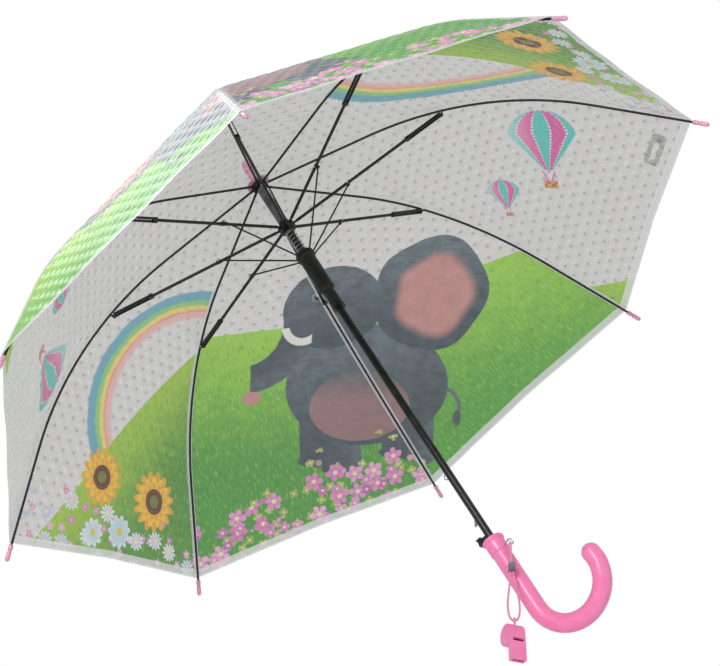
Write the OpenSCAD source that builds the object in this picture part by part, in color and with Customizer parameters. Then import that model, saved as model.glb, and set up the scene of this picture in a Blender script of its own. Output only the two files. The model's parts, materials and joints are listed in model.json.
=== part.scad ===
// Children's dome umbrella: an eight-rib frame with a sliding hub and runner, a clear film
// canopy, a hook handle with a push button and catch, and a pea whistle on a cord loop.
// Millimetres. The shaft runs along Z, +X points to the side of the hook, and the origin is
// the middle of the grip on the shaft's axis.

/* [Shaft] */
// Height of the rib pivots above the middle of the grip
notch_z = 540; // [530:5:560]
// Outer diameter of the shaft tube
shaft_d = 8; // [7.6:0.2:8]
// Wall of the shaft tube
shaft_wall = 0.6; // [0.4:0.1:0.8]
// Height of the handle's top face above the middle of the grip
collar_z = 40; // [38:1:42]

/* [Ribs] */
// Diameter of a rib's rod
rib_d = 2.6; // [2.2:0.2:2.8]
// Length of a rib's straight inner stretch
inner_len = 124; // [110:1:130]
// Slope of the inner stretch below the horizontal, in degrees
inner_slope = 8.5; // [7:0.5:10]
// Radius of a rib's bend
bend_r = 355; // [340:5:370]
// Slope of the straight outer stretch, in degrees
outer_slope = 49; // [45:0.5:52]
// Length of the straight outer stretch
outer_len = 119; // [110:1:125]
// Length of a tip cap beyond the end of its rib
tip_reach = 10; // [8:1:12]

/* [Linkage] */
// Distance from the shaft's axis to a stretcher's joint on its rib
joint_r = 210; // [200:1:220]
// Depth of the stretcher's joint under the rib's centreline
joint_drop = 4; // [3.8:0.1:5]
// Distance of the hub's pivots below the rib pivots when open
hub_drop = 64; // [62:1:66]
// Distance of the runner's pivots below the rib pivots when open
runner_drop = 109; // [107:1:111]
// Diameter of a stretcher's rod
stretcher_d = 3.4; // [2.6:0.2:3.6]
// Distance along a stretcher from its hub pivot to its link
link_at = 74; // [70:1:78]
// Angle that a rib turns from open to closed, in degrees
fold_turn = 60; // [56:1:60]

/* [Canopy] */
// Thickness of the film's solid
film_t = 0.3; // [0.2:0.05:0.5]
// Gap between a rib's centreline and the film
film_gap = 2.6; // [2.4:0.1:3]
// How far the hem bows inwards between two tips
hem_bow = 4; // [2:0.5:8]

/* [Handle] */
// Diameter of the grip and hook
grip_d = 18.8; // [18:0.2:20]
// Radius of the hook's centreline
hook_r = 38; // [36:0.2:46]
// Height of the hook's centre
hook_z = -44; // [-48:1:-32]
// Sweep of the hook, in degrees
hook_sweep = 190; // [180:5:215]

/* [Lanyard] */
// Diameter of the cord
cord_d = 2.2; // [2:0.1:2.4]
// Direction in which the whistle hangs, as an angle round the shaft
hang_azimuth = 217; // [215:1:219]
// Tilt of the hanging cord from the shaft, in degrees
hang_tilt = 28; // [26:1:30]
// Centre of the ring that the cord hangs in
ring_centre = [16.8, -7.9, 22]; // [-20:0.1:40]

/* [Hidden] */
$fn = 48;
RIBS = 8;
pitch = 360 / RIBS;

enamel = [0.07, 0.07, 0.08];
steel = [0.72, 0.73, 0.75];
dark_metal = [0.3, 0.3, 0.32];
pink = [0.98, 0.47, 0.72];
clear_film = [0.86, 0.9, 0.9, 0.45];
clear_pink = [1, 0.75, 0.82, 0.7];

shaft_r = shaft_d / 2;
slide_r = shaft_r + 0.1;        // bore of the hub and the runner
wire_r = 0.5;                   // pivot wires
eye_hole_r = 0.62;
eye_w = 2.2;
eye_r = 2;
slot_w = 3.1;

// The rib pivots are the zero of every height marked "rel".
notch_r = 7;                    // radius of the circle of rib pivots
hub_r = 8;                      // radius of the circle of stretcher pivots
runner_r = 8.6;                 // radius of the circle of link pivots

// A rib's centreline in its own plane: [distance from the axis, height rel].
function along(slope) = [cos(slope), -sin(slope)];
function outward(slope) = [sin(slope), cos(slope)];
bend_len = bend_r * (outer_slope - inner_slope) * PI / 180;
rib_len = inner_len + bend_len + outer_len;
rib_start = [notch_r, 0];
bend_start = rib_start + inner_len * along(inner_slope);
bend_centre = bend_start - bend_r * outward(inner_slope);
bend_end = bend_centre + bend_r * outward(outer_slope);
rib_end = bend_end + outer_len * along(outer_slope);
function slope_at(s) =
    s < inner_len ? inner_slope
    : s < inner_len + bend_len ? inner_slope + (s - inner_len) / bend_r * 180 / PI
    : outer_slope;
function rib_point(s) =
    s < inner_len ? rib_start + s * along(inner_slope)
    : s < inner_len + bend_len ? bend_centre + bend_r * outward(slope_at(s))
    : bend_end + (s - inner_len - bend_len) * along(outer_slope);

// The linkage when open.
joint_slope = asin((joint_r - bend_centre[0]) / bend_r);
joint = bend_centre + (bend_r - joint_drop) * outward(joint_slope);
hub_pivot = [hub_r, -hub_drop];
runner_pivot = [runner_r, -runner_drop];
function rise(from, to) = atan2(to[1] - from[1], to[0] - from[0]);
stretcher_len = norm(joint - hub_pivot);
stretcher_rise = rise(hub_pivot, joint);
link_joint = hub_pivot + link_at * [cos(stretcher_rise), sin(stretcher_rise)];
link_len = norm(link_joint - runner_pivot);
link_rise = rise(runner_pivot, link_joint);

// The linkage when closed, which places the catch on the shaft.
closed_fall = fold_turn - rise(rib_start, joint);
closed_joint = rib_start + norm(joint - rib_start) * along(closed_fall);
closed_stretcher_rise = acos((closed_joint[0] - hub_r) / stretcher_len);
closed_link_joint_r = hub_r + link_at * cos(closed_stretcher_rise);
closed_link_rise = acos((closed_link_joint_r - runner_r) / link_len);
closed_hub_drop = -closed_joint[1] + stretcher_len * sin(closed_stretcher_rise);
closed_runner_drop = closed_hub_drop - link_at * sin(closed_stretcher_rise)
    + link_len * sin(closed_link_rise);

// The runner, in heights below its pivots.
runner_top = 5;
runner_wide = 48;
runner_flange = 74;             // top face of the bottom flange
runner_flange_t = 3;
spring_seat = 43;
runner_body_r = 9;
runner_neck_r = 6.5;
catch_low = notch_z - closed_runner_drop - runner_flange + 0.5;
catch_h = 8;
catch_x = 7.8;                  // how far the leaf reaches from the axis
safety_z = 123;
button_z = 45;

// The film covers a rib from its notch to just inside its tip cap.
film_s0 = 2.2;
film_s1 = rib_len - 10;
FILM_STEPS = 16;
edge_gap = 0.3;                 // from a gore's side edge to the middle of its panel

module at_notch() translate([0, 0, notch_z]) children();
module at_rib(k) at_notch() rotate([0, 0, (k - 1.5) * pitch]) children();
module at_point(p) translate([p[0], 0, p[1]]) children();
// Runs its children's Z axis along a direction in the rib's plane.
module pointing(up_angle) rotate([0, 90 - up_angle, 0]) children();
module rod(p, up_angle, len, r) at_point(p) pointing(up_angle) cylinder(r = r, h = len);
module pin(p, r, h) at_point(p) rotate([90, 0, 0]) cylinder(r = r, h = h, center = true);
module ring(major, minor) rotate_extrude($fn = 96) translate([major, 0]) circle(r = minor, $fn = 20);
module side_slot(z0, z1, w)
    translate([-shaft_r - 2, -w / 2, z0]) cube([shaft_r + 1, w, z1 - z0]);

// Cuts the places for the eyes: open outwards and upwards, each with room for its wire.
module eye_slots(pivot_r, floor_r, low, high, w)
    for (k = [0:RIBS - 1]) rotate([0, 0, (k + 0.5) * pitch])
        translate([floor_r, -w / 2, low]) cube([pivot_r, w, high - low]);

// A closed tube with flat ends that follows a list of points.
function unit(v) = v / norm(v);
function path_dir(p, i) = unit(p[min(i + 1, len(p) - 1)] - p[max(i - 1, 0)]);
module tube_along(p, r, sides, side_hint) {
    n = len(p);
    points = [for (i = [0:n - 1])
        let (t = path_dir(p, i), a = unit(cross(t, side_hint)), b = cross(t, a))
        for (j = [0:sides - 1])
            p[i] + r * (cos(360 * j / sides) * a + sin(360 * j / sides) * b)];
    walls = [for (i = [0:n - 2], j = [0:sides - 1])
        [i * sides + j, i * sides + (j + 1) % sides,
         (i + 1) * sides + (j + 1) % sides, (i + 1) * sides + j]];
    first = [for (j = [0:sides - 1]) sides - 1 - j];
    last = [for (j = [0:sides - 1]) (n - 1) * sides + j];
    polyhedron(points = points, faces = concat([first], walls, [last]), convexity = 8);
}

// A coil spring with closed end turns.
module coil(z0, z1, r, wire, turns) {
    steps = 10;
    n = turns * steps;
    flat = steps;                // the first and last turn lie nearly flat
    rise_total = z1 - z0 - 2 * wire - 2 * wire;
    function climb(i) =
        i <= flat ? wire * i / flat
        : i >= n - flat ? wire + rise_total + wire * (i - n + flat) / flat
        : wire + rise_total * (i - flat) / (n - 2 * flat);
    points = [for (i = [0:n]) let (a = 360 * i / steps)
        for (j = [0:5]) let (u = 60 * j, q = r + wire / 2 * cos(u))
            [q * cos(a), q * sin(a), z0 + wire / 2 + climb(i) + wire / 2 * sin(u)]];
    walls = [for (i = [0:n - 1], j = [0:5])
        [i * 6 + j, (i + 1) * 6 + j, (i + 1) * 6 + (j + 1) % 6, i * 6 + (j + 1) % 6]];
    first = [for (j = [0:5]) j];
    last = [for (j = [0:5]) n * 6 + 5 - j];
    polyhedron(points = points, faces = concat([first], walls, [last]), convexity = 8);
}

module shaft() color(enamel) difference() {
    translate([0, 0, -22]) cylinder(r = shaft_r, h = notch_z + 26 + 22);
    translate([0, 0, -23]) cylinder(r = shaft_r - shaft_wall, h = notch_z + 26 + 22);
    side_slot(collar_z, button_z + 4.6, 3.4);
    side_slot(catch_low - 0.8, catch_low + catch_h + 0.8, 2.6);
    side_slot(safety_z - 4.4, safety_z + 4.4, 1.6);
}

module ferrule() color(pink) at_notch() difference() {
    rotate_extrude() polygon([[0, 3.6], [13, 3.6], [13, 4.8], [8.5, 7.2], [5, 10],
        [5, 30], [3.8, 36.5], [2.2, 39.3], [0, 40]]);
    translate([0, 0, 3]) cylinder(r = shaft_r, h = 23);
}

// The crown that holds the rib eyes: a core, a top flange and a tooth between each two ribs.
module top_notch() color(enamel) at_notch() difference() {
    union() {
        translate([0, 0, -3.5]) cylinder(r = 8.5, h = 6.2);
        translate([0, 0, 2.6]) cylinder(r = 8.5, h = 1);
    }
    translate([0, 0, -4]) cylinder(r = shaft_r, h = 9);
    eye_slots(notch_r, 4.8, -4, 2.6, slot_w);
    ring(notch_r, wire_r);
}

module notch_wire() color(steel) at_notch() ring(notch_r, wire_r);

// Close-wound spring that cushions the hub when the umbrella springs open.
module buffer_spring() color(dark_metal) at_notch()
    coil(-hub_drop + 6.8, -3.8, 5, 1.1, 28);

module hub() color(enamel) at_notch() translate([0, 0, -hub_drop]) difference() {
    union() {
        translate([0, 0, -7]) cylinder(r = 5.8, h = 13.5);
        translate([0, 0, -4]) cylinder(r = 9.6, h = 6.6);
    }
    translate([0, 0, -8]) cylinder(r = slide_r, h = 16);
    eye_slots(hub_r, 5.8, -2.6, 5, slot_w);
    ring(hub_r, wire_r);
}

module hub_wire() color(steel) at_notch() translate([0, 0, -hub_drop]) ring(hub_r, wire_r);

// The long spring between the hub and the runner. It opens the umbrella.
module main_spring() color(steel) at_notch()
    coil(-runner_drop - spring_seat, -hub_drop - 7.2, 5.2, 1.1, 17);

module runner() color(enamel) at_notch() translate([0, 0, -runner_drop]) difference() {
    rotate_extrude() polygon([
        [slide_r, -runner_flange - runner_flange_t], [7.2, -runner_flange - runner_flange_t],
        [7.2, -runner_flange], [runner_neck_r, -runner_flange],
        [runner_neck_r, -runner_wide - 5], [runner_body_r, -runner_wide],
        [runner_body_r, -4], [10.4, -3], [10.4, 3], [runner_body_r, runner_top],
        [6, runner_top], [6, -spring_seat], [slide_r, -spring_seat]]);
    eye_slots(runner_r, 6.5, -2.6, runner_top + 1, 2.8);
    ring(runner_r, wire_r);
    // window in which the catch locks the closed umbrella
    translate([-runner_neck_r - 1, -2, -runner_flange]) cube([4, 4, catch_h + 2.5]);
}

module runner_wire() color(steel) at_notch() translate([0, 0, -runner_drop])
    ring(runner_r, wire_r);

module rib(k) color(enamel) at_rib(k) difference() {
    union() {
        pin(rib_start, eye_r, eye_w);
        rod(rib_start, -inner_slope, inner_len, rib_d / 2);
        at_point(bend_centre) rotate([0, outer_slope - 90, 0]) rotate([90, 0, 0])
            rotate_extrude(angle = outer_slope - inner_slope)
                translate([bend_r, 0]) circle(d = rib_d);
        rod(bend_end, -outer_slope, outer_len, rib_d / 2);
        // weld beads where the straight stretches meet the bend
        for (s = [inner_len, inner_len + bend_len])
            rod(rib_point(s - 1), -slope_at(s), 2, rib_d / 2 + 0.05);
        // lug that the stretcher's fork holds
        pin(joint, 2.3, 2.8);
        at_point(joint) rotate([0, joint_slope, 0])
            translate([-2.3, -1.4, 0]) cube([4.6, 2.8, joint_drop]);
    }
    pin(rib_start, eye_hole_r, eye_w + 1);
}

// Tip cap, blind over the rib's end, with a groove for the corner of the film.
module tip(k) color(clear_pink) at_rib(k)
    at_point(rib_end - 8 * along(outer_slope)) pointing(-outer_slope)
        difference() {
            rotate_extrude($fn = 32) polygon([[0, 0], [2.1, 0], [2.5, 1], [2.5, 5], [2, 6],
                [2, 7.4], [2.5, 8.4], [2.5, 15.6], [1.9, 17.3], [1, 18], [0, 8 + tip_reach]]);
            translate([0, 0, -1]) cylinder(d = rib_d, h = 9);
        }

// A stretcher in its own frame: X runs from the hub pivot to the joint on the rib.
fork_len = 44;
fork_gap = 3.4;
fork_w = 5.2;
module stretcher(k) color(enamel) at_rib(k) at_point(hub_pivot) rotate([0, -stretcher_rise, 0])
    difference() {
        union() {
            pin([0, 0], eye_r, eye_w);
            // narrow neck that fits the hub's slot
            rod([0, 0], 0, 6, 1.3);
            rod([5, 0], 0, stretcher_len - fork_len - 5, stretcher_d / 2);
            // saddle that the link is hung beside
            rod([link_at - 3, 0], 0, 6, stretcher_d / 2 + 0.4);
            // fork whose slot takes the rib's lug
            translate([stretcher_len - fork_len - 4, -fork_w / 2, -1.9])
                cube([5, fork_w, 3.8]);
            for (side = [-1, 1]) translate([0, side * (fork_gap + fork_w) / 4, 0]) {
                arm = (fork_w - fork_gap) / 2;
                translate([stretcher_len - fork_len, -arm / 2, -1.6]) cube([fork_len, arm, 3.2]);
                pin([stretcher_len, 0], 2.4, arm);
            }
            for (side = [-1, 1]) translate([0, side * (fork_w / 2 + 0.3), 0])
                pin([stretcher_len, 0], 1.3, 0.6);
        }
        pin([0, 0], eye_hole_r, eye_w + 1);
    }

// A link runs from the runner to the side of its stretcher.
link_side = 3.6;
module link(k) color(enamel) at_rib(k) at_point(runner_pivot) rotate([0, -link_rise, 0])
    difference() {
        union() {
            pin([0, 0], 1.9, eye_w);
            rotate([0, 0, asin(link_side / link_len)]) rod([0, 0], 0, link_len, 0.9);
            translate([0, link_side, 0]) pin([link_len, 0], 1.8, 1.6);
        }
        pin([0, 0], eye_hole_r, eye_w + 1);
    }

// A point of the film: s along the rib, f from the rib line (0) to the middle of a panel
// (1 or -1), and lift from the film's inner face.
function film_point(s, f, lift) =
    let (s_here = s - abs(f) * hem_bow * (s - film_s0) / (film_s1 - film_s0),
         p = rib_point(s_here) + (film_gap + lift) * outward(slope_at(s_here)),
         middle = p[0] * [(1 + cos(pitch)) / 2, sin(pitch) / 2],
         across = middle - [p[0], 0],
         share = abs(f) * (1 - edge_gap / norm(across)))
    [p[0] + share * across[0], sign(f) * share * across[1], p[1]];

// A gore is the film on both sides of one rib, out to the middle of the two panels.
module gore(k) color(clear_film) at_rib(k) {
    n = FILM_STEPS;
    columns = [-1, 0, 1];
    rows = [for (i = [0:n]) film_s0 + (film_s1 - film_s0) * i / n];
    points = [for (lift = [0, film_t], s = rows, f = columns) film_point(s, f, lift)];
    top = (n + 1) * 3;
    inner_faces = [for (i = [0:n - 1], j = [0:1]) let (a = i * 3 + j)
        each [[a, a + 1, a + 4], [a, a + 4, a + 3]]];
    outer_faces = [for (t = inner_faces) [t[2] + top, t[1] + top, t[0] + top]];
    sides = [for (i = [0:n - 1]) let (a = i * 3, b = i * 3 + 2) each [
        [a, a + 3, a + 3 + top], [a, a + 3 + top, a + top],
        [b + 3, b, b + top], [b + 3, b + top, b + 3 + top]]];
    ends = [for (j = [0:1]) let (a = j, b = n * 3 + j) each [
        [a + 1, a, a + top], [a + 1, a + top, a + 1 + top],
        [b, b + 1, b + 1 + top], [b, b + 1 + top, b + top]]];
    polyhedron(points = points, faces = concat(inner_faces, outer_faces, sides, ends),
        convexity = 4);
}

// Puts its children on the outside of the film: X along the hem, Y up the panel, Z outwards.
module on_film(s, f) {
    o = film_point(s, f, film_t);
    x = unit(film_point(s, f + 0.1, film_t) - o);
    up = unit(film_point(s - 10, f, film_t) - o);
    z = unit(cross(x, up));
    y = cross(z, x);
    multmatrix([[x[0], y[0], z[0], o[0]], [x[1], y[1], z[1], o[1]], [x[2], y[2], z[2], o[2]],
        [0, 0, 0, 1]]) children();
}

// The strap that ties the closed canopy, folded flat beside the second tip.
module tie_strap() color(clear_film) at_rib(2) on_film(film_s1 - 26, 0.2)
    translate([0, -8, 0.1]) difference() {
        cube([46, 16, 1]);
        translate([12, 5, -1]) cube([26, 6, 3]);
    }

module snap() color(steel) at_rib(2) on_film(film_s1 - 26, 0.2)
    translate([6, 0, 1.1]) {
        cylinder(r = 5.5, h = 1);
        translate([0, 0, 1]) cylinder(r1 = 2.6, r2 = 2, h = 1.4);
    }

module handle() color(pink) difference() {
    union() {
        translate([0, 0, hook_z]) cylinder(d = grip_d, h = collar_z - 5 - hook_z);
        // parting line between the grip and the hook
        translate([0, 0, hook_z - 1]) cylinder(d = grip_d + 0.1, h = 2);
        translate([0, 0, 23]) cylinder(r = 10.2, h = 12);
        translate([0, 0, collar_z - 5]) rotate_extrude()
            polygon([[0, 0], [10.2, 0], [11.4, 1.2], [11.4, 4], [10.6, 5], [0, 5]]);
        translate([hook_r, 0, hook_z]) rotate([-90, 0, 0]) rotate([0, 0, 180 - hook_sweep])
            rotate_extrude(angle = hook_sweep) translate([hook_r, 0]) circle(d = grip_d);
        // rounded end
        translate([hook_r, 0, hook_z]) rotate([0, 180 - hook_sweep, 0])
            translate([hook_r, 0, -0.4]) rotate_extrude() intersection() {
                circle(d = grip_d + 0.1);
                square(grip_d);
            }
    }
    translate([0, 0, -22]) cylinder(r = shaft_r, h = 100);
    rotate([0, 0, ring_azimuth]) translate([8.4, 0, ring_centre[2] + 3]) rotate([0, 90, 0])
        cylinder(r = 0.8, h = 10);
}

module push_button() color(enamel) translate([0, 0, button_z]) {
    translate([-8.4, -1.4, -2.5]) cube([5.6, 2.8, 5]);
    difference() {
        translate([-14.2, -3.5, -3.8]) cube([6, 7, 7.6]);
        // thumb hollow
        translate([-20.6, 0, 0]) rotate([90, 0, 0]) cylinder(r = 7.4, h = 10, center = true);
    }
}

// Leaf spring in the tube. Its wedge stands out of the slot and holds the closed runner.
module catch_spring() color(dark_metal) {
    translate([0, 1, 0]) rotate([90, 0, 0]) linear_extrude(2)
        polygon([[-2.9, catch_low], [-catch_x, catch_low], [-2.9, catch_low + catch_h]]);
    translate([-2.9, -1.2, button_z + 5]) cube([0.8, 2.4, catch_low + catch_h - button_z - 5]);
}

module safety_spring() color(dark_metal) translate([-3.6, 0, safety_z]) rotate([90, 0, 0])
    rotate([0, 0, 90]) rotate_extrude(angle = 180) translate([3, 0]) circle(r = 0.5);

ring_azimuth = atan2(ring_centre[1], ring_centre[0]);
ring_reach = norm([ring_centre[0], ring_centre[1]]);
ring_major = 3;
ring_minor = 0.7;

module lanyard_ring() color(steel) {
    translate(ring_centre) rotate([0, 0, hang_azimuth]) rotate([90, 0, 0])
        ring(ring_major, ring_minor);
    rotate([0, 0, ring_azimuth]) translate([8.4, 0, ring_centre[2] + ring_major])
        rotate([0, 90, 0]) cylinder(r = 0.8, h = ring_reach - 8.4);
}

// The hanging frame: A through the ring, B across the loop, C down the cord.
hang_a = [-sin(hang_azimuth), cos(hang_azimuth), 0];
hang_b = [-cos(hang_tilt) * cos(hang_azimuth), -cos(hang_tilt) * sin(hang_azimuth),
    -sin(hang_tilt)];
hang_c = [sin(hang_tilt) * cos(hang_azimuth), sin(hang_tilt) * sin(hang_azimuth),
    -cos(hang_tilt)];
function hung(p) = ring_centre + p[0] * hang_a + p[1] * hang_b + p[2] * hang_c;
module hanging() multmatrix([for (i = [0:2]) [hang_a[i], hang_b[i], hang_c[i], ring_centre[i]]])
    children();

// The cord's route in the hanging frame: from the crimp up through the ring, back down
// through the crimp, round the whistle's eye and up into the crimp again.
cord_route = [
    [-1.2, 0, 29], [-1.2, 0, 24], [-2, 0, 19], [-3.4, 0, 14], [-4.3, 0, 9], [-4.2, 0, 5],
    [-2.8, 0, 2], [0, 0, 0.9], [2.8, 0, 2], [4.2, 0, 5], [4.3, 0, 9], [3.4, 0, 14],
    [2, 0, 19], [1.2, 0, 24], [0.6, -1, 29], [0, -1.4, 34], [0, -2, 41], [0, -3, 48],
    [0, -4.2, 55], [0, -5.2, 62], [0, -5.6, 68], [0, -5.4, 74], [0, -4.6, 79],
    [0, -2.9, 82.6], [0, 0, 84.1], [0, 2.9, 82.6], [0, 4.6, 79], [0, 5.4, 74], [0, 5.6, 68],
    [0, 5.2, 62], [0, 4.2, 55], [0, 3, 48], [0, 2, 41], [0, 1.4, 34], [0, 1.4, 29]
];

module lanyard_cord() color(pink)
    tube_along([for (p = cord_route) hung(p)], cord_d / 2, 8, cross(hang_a, hang_c));

module cord_crimp() color(dark_metal) hanging() difference() {
    translate([-3.2, -3.2, 24]) cube([6.4, 6.4, 8]);
    translate([0, 0, 23]) cylinder(r = 2.5, h = 10);
}

// The whistle hangs from its eye. Its drum lies across, and the mouthpiece points down.
whistle_turn = 25;
whistle_w = 15;
drum_r = 11;
module across(x, z, r, w) translate([x, 0, z]) rotate([90, 0, 0])
    cylinder(r = r, h = w, center = true);
module whistle() color(pink) hanging() translate([0, 0, 84]) rotate([0, 0, whistle_turn]) {
    difference() {
        union() {
            across(-5, 14, drum_r, whistle_w);
            translate([-1.5, -whistle_w / 2, 14]) cube([7.5, whistle_w, 28]);
        }
        across(-5, 14, drum_r - 1.6, whistle_w - 3.2);
        translate([1, -whistle_w / 2 + 1.6, 16]) cube([3.2, whistle_w - 3.2, 27]);
        // window with its sloping lip
        translate([4, -whistle_w / 2 + 1.6, 21]) rotate([0, 25, 0])
            translate([-3, 0, 0]) cube([8, whistle_w - 3.2, 3]);
    }
    rotate([0, 0, -whistle_turn]) difference() {
        union() {
            rotate([90, 0, 0]) cylinder(r = 3.2, h = 2, center = true);
            translate([-1, -1, 2]) cube([2, 2, 3]);
        }
        rotate([90, 0, 0]) cylinder(r = 1.5, h = 4, center = true);
    }
}

shaft();
ferrule();
top_notch();
notch_wire();
buffer_spring();
hub();
hub_wire();
main_spring();
runner();
runner_wire();
handle();
push_button();
catch_spring();
safety_spring();
lanyard_ring();
lanyard_cord();
cord_crimp();
whistle();
tie_strap();
snap();
for (k = [1:RIBS]) {
    rib(k);
    tip(k);
    stretcher(k);
    link(k);
    gore(k);
}
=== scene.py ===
"""Looks of the children's dome umbrella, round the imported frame. Metres, in the row frame."""
import json
import math

import bpy
import numpy as np
from mathutils import Matrix, Vector


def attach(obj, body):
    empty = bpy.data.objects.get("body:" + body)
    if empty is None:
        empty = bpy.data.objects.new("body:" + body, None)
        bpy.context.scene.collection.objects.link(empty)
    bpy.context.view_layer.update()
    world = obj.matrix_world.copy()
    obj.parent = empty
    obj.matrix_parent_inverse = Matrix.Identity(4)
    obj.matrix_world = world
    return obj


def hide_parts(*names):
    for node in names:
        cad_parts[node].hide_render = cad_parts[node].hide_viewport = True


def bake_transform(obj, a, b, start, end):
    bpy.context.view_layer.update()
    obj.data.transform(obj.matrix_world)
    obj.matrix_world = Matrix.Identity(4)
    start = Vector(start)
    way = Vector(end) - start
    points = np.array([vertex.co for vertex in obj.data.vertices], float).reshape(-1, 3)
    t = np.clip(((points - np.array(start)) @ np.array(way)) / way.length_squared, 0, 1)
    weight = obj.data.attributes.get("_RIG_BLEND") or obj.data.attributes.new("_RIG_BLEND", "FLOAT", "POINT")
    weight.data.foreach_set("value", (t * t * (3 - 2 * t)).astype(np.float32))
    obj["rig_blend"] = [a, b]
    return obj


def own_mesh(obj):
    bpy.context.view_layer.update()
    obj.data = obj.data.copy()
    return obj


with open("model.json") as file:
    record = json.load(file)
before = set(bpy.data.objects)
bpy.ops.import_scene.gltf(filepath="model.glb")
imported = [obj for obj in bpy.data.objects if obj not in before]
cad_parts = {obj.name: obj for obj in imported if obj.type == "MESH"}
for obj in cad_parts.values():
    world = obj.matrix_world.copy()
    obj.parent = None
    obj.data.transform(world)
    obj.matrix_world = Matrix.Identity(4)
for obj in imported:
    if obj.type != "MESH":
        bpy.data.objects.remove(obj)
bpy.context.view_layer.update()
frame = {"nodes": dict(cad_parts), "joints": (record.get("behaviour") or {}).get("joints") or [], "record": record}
nodes = frame["nodes"]
joints = {j["name"]: j for j in frame["joints"]}
MM = 0.001
RIBS = 8
PITCH = 2 * math.pi / RIBS

# ---------------------------------------------------------------- camera
right = Vector((0.6960, 0.5373, -0.4763)).normalized()
up = Vector((0.6584, -0.2129, 0.7220))
back = right.cross(up).normalized()
up = back.cross(right)
camera = bpy.data.objects.new("camera", bpy.data.cameras.new("camera"))
bpy.context.collection.objects.link(camera)
camera.data.sensor_width = 36
camera.data.lens = 101.2
place = Matrix((right, up, back)).transposed().to_4x4()
place.translation = (0.6062, -1.7168, -0.7414)
camera.matrix_world = place
camera.data.clip_start, camera.data.clip_end = 0.05, 60
bpy.context.scene.camera = camera


# ---------------------------------------------------------------- meshes
def add_mesh(name, points, faces, smooth=True):
    mesh = bpy.data.meshes.new(name)
    mesh.from_pydata([tuple(p) for p in points], [], [tuple(f) for f in faces])
    mesh.update()
    mesh.polygons.foreach_set("use_smooth", [smooth] * len(mesh.polygons))
    obj = bpy.data.objects.new(name, mesh)
    bpy.context.collection.objects.link(obj)
    return obj


def smooth_path(points, steps):
    """A Catmull-Rom curve through the points."""
    p = np.array(points, float)
    p = np.vstack([2 * p[0] - p[1], p, 2 * p[-1] - p[-2]])
    found = []
    for a, b, c, d in zip(p, p[1:], p[2:], p[3:]):
        for t in np.arange(steps) / steps:
            found.append(
                0.5 * (2 * b + (c - a) * t + (2 * a - 5 * b + 4 * c - d) * t**2
                       + (3 * b - a - 3 * c + d) * t**3)
            )
    return np.array(found + [p[-2]])


def tube(path, sides, radius, lobes=0, lobe_depth=0.0, twist=0.0):
    """Points and faces of a closed tube along a path, with a braided surface if it has lobes."""
    p = np.array(path, float)
    n = len(p)
    along = np.gradient(p, axis=0)
    along /= np.linalg.norm(along, axis=1)[:, None]
    far = np.concatenate([[0], np.cumsum(np.linalg.norm(np.diff(p, axis=0), axis=1))])
    side = np.cross(along[0], (0.31, 0.52, 0.79))
    points, angle = [], 2 * np.pi * np.arange(sides) / sides
    for i in range(n):
        side = side - along[i] * (side @ along[i])
        side /= np.linalg.norm(side)
        other = np.cross(along[i], side)
        r = radius if np.isscalar(radius) else radius[i]
        if lobes:
            r = r + lobe_depth * (
                np.cos(lobes * angle + twist * far[i]) * np.cos(lobes * angle - twist * far[i]) - 1
            )
        points.append(p[i] + (np.cos(angle) * r)[:, None] * side
                      + (np.sin(angle) * r)[:, None] * other)
    faces = [
        (i * sides + j, i * sides + (j + 1) % sides,
         (i + 1) * sides + (j + 1) % sides, (i + 1) * sides + j)
        for i in range(n - 1) for j in range(sides)
    ]
    faces += [tuple(reversed(range(sides))), tuple((n - 1) * sides + j for j in range(sides))]
    return np.concatenate(points), faces


def lathe(profile, sides=32):
    """Points and faces of a closed solid of revolution about Z.

    The profile starts and ends on the axis.
    """
    inner = profile[1:-1]
    points = [(0, 0, profile[0][1]), (0, 0, profile[-1][1])]
    for r, z in inner:
        points += [(r * math.cos(2 * math.pi * j / sides), r * math.sin(2 * math.pi * j / sides), z)
                   for j in range(sides)]
    at = lambda i, j: 2 + i * sides + j % sides
    faces = [(0, at(0, j + 1), at(0, j)) for j in range(sides)]
    faces += [(1, at(len(inner) - 1, j), at(len(inner) - 1, j + 1)) for j in range(sides)]
    faces += [(at(i, j), at(i, j + 1), at(i + 1, j + 1), at(i + 1, j))
              for i in range(len(inner) - 1) for j in range(sides)]
    return points, faces


# ---------------------------------------------------------------- node graphs
class Field:
    """A number in a node graph, which adds and multiplies like one."""

    def __init__(self, tree, socket):
        self.tree, self.socket = tree, socket

    def do(self, kind, *others):
        return calc(self.tree, kind, self, *others)

    def __add__(self, o):
        return self.do("ADD", o)

    __radd__ = __add__

    def __mul__(self, o):
        return self.do("MULTIPLY", o)

    __rmul__ = __mul__

    def __sub__(self, o):
        return self.do("SUBTRACT", o)

    def __rsub__(self, o):
        return calc(self.tree, "SUBTRACT", o, self)

    def __truediv__(self, o):
        return self.do("DIVIDE", o)

    def abs(self):
        return self.do("ABSOLUTE")

    def fract(self):
        return self.do("FRACT")

    def floor(self):
        return self.do("FLOOR")

    def sin(self):
        return self.do("SINE")

    def cos(self):
        return self.do("COSINE")

    def root(self):
        return self.do("SQRT")

    def least(self, o):
        return self.do("MINIMUM", o)

    def most(self, o):
        return self.do("MAXIMUM", o)

    def over(self, low, high):
        """0 below low, 1 above high, and smooth between."""
        node = self.tree.nodes.new("ShaderNodeMapRange")
        node.interpolation_type = "SMOOTHSTEP"
        node.inputs["From Min"].default_value = low
        node.inputs["From Max"].default_value = high
        self.tree.links.new(self.socket, node.inputs["Value"])
        return Field(self.tree, node.outputs["Result"])


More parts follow.
